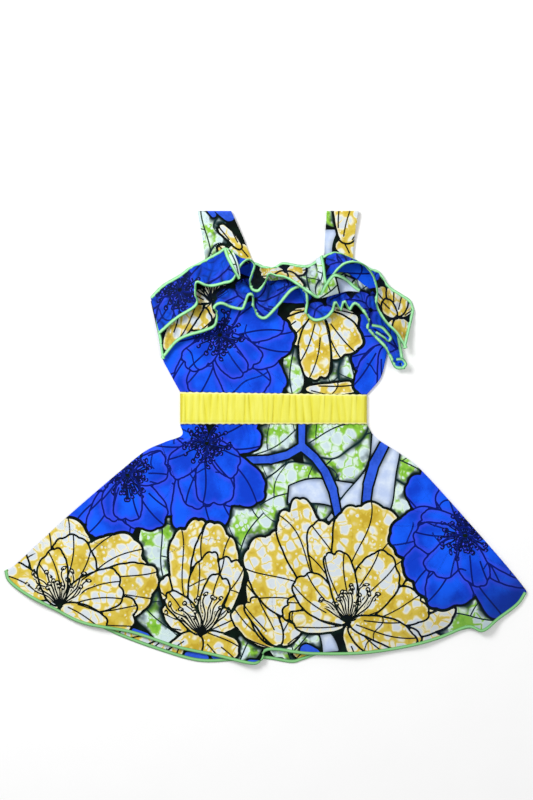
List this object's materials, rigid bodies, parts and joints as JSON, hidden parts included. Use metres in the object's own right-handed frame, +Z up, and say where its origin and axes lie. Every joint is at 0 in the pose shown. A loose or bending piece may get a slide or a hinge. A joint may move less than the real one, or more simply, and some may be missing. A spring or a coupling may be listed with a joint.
{
  "type": "ankara wax print dress",
  "caption": "Toddler's sleeveless dress laid flat: gathered flared skirt, yellow elastic waistband, double neckline ruffle and wide shoulder straps.",
  "frame": {"origin": "middle of the dress's bounding box, on the surface it lies on", "axes": "+X across the dress to the right as seen from above, +Y from the hem to the shoulders, +Z up from the surface"},
  "size_m": [0.6044, 0.5248, 0.0263],
  "materials": {
    "wax_print": "crisp plain-weave cotton with a floral wax print in royal blue, gold, leaf green and white on black, and overlocked mint green edges",
    "waistband": "bright yellow cotton gathered over elastic, soft sheen on the gathers"
  },
  "bodies": {
    "root": {"skirt_back": "wax_print", "skirt_front": "wax_print", "bodice_back": "wax_print", "bodice_front": "wax_print", "waistband": "waistband", "strap_left": "wax_print", "strap_right": "wax_print", "ruffle_upper": "wax_print", "ruffle_lower": "wax_print"}
  },
  "joints": []
}
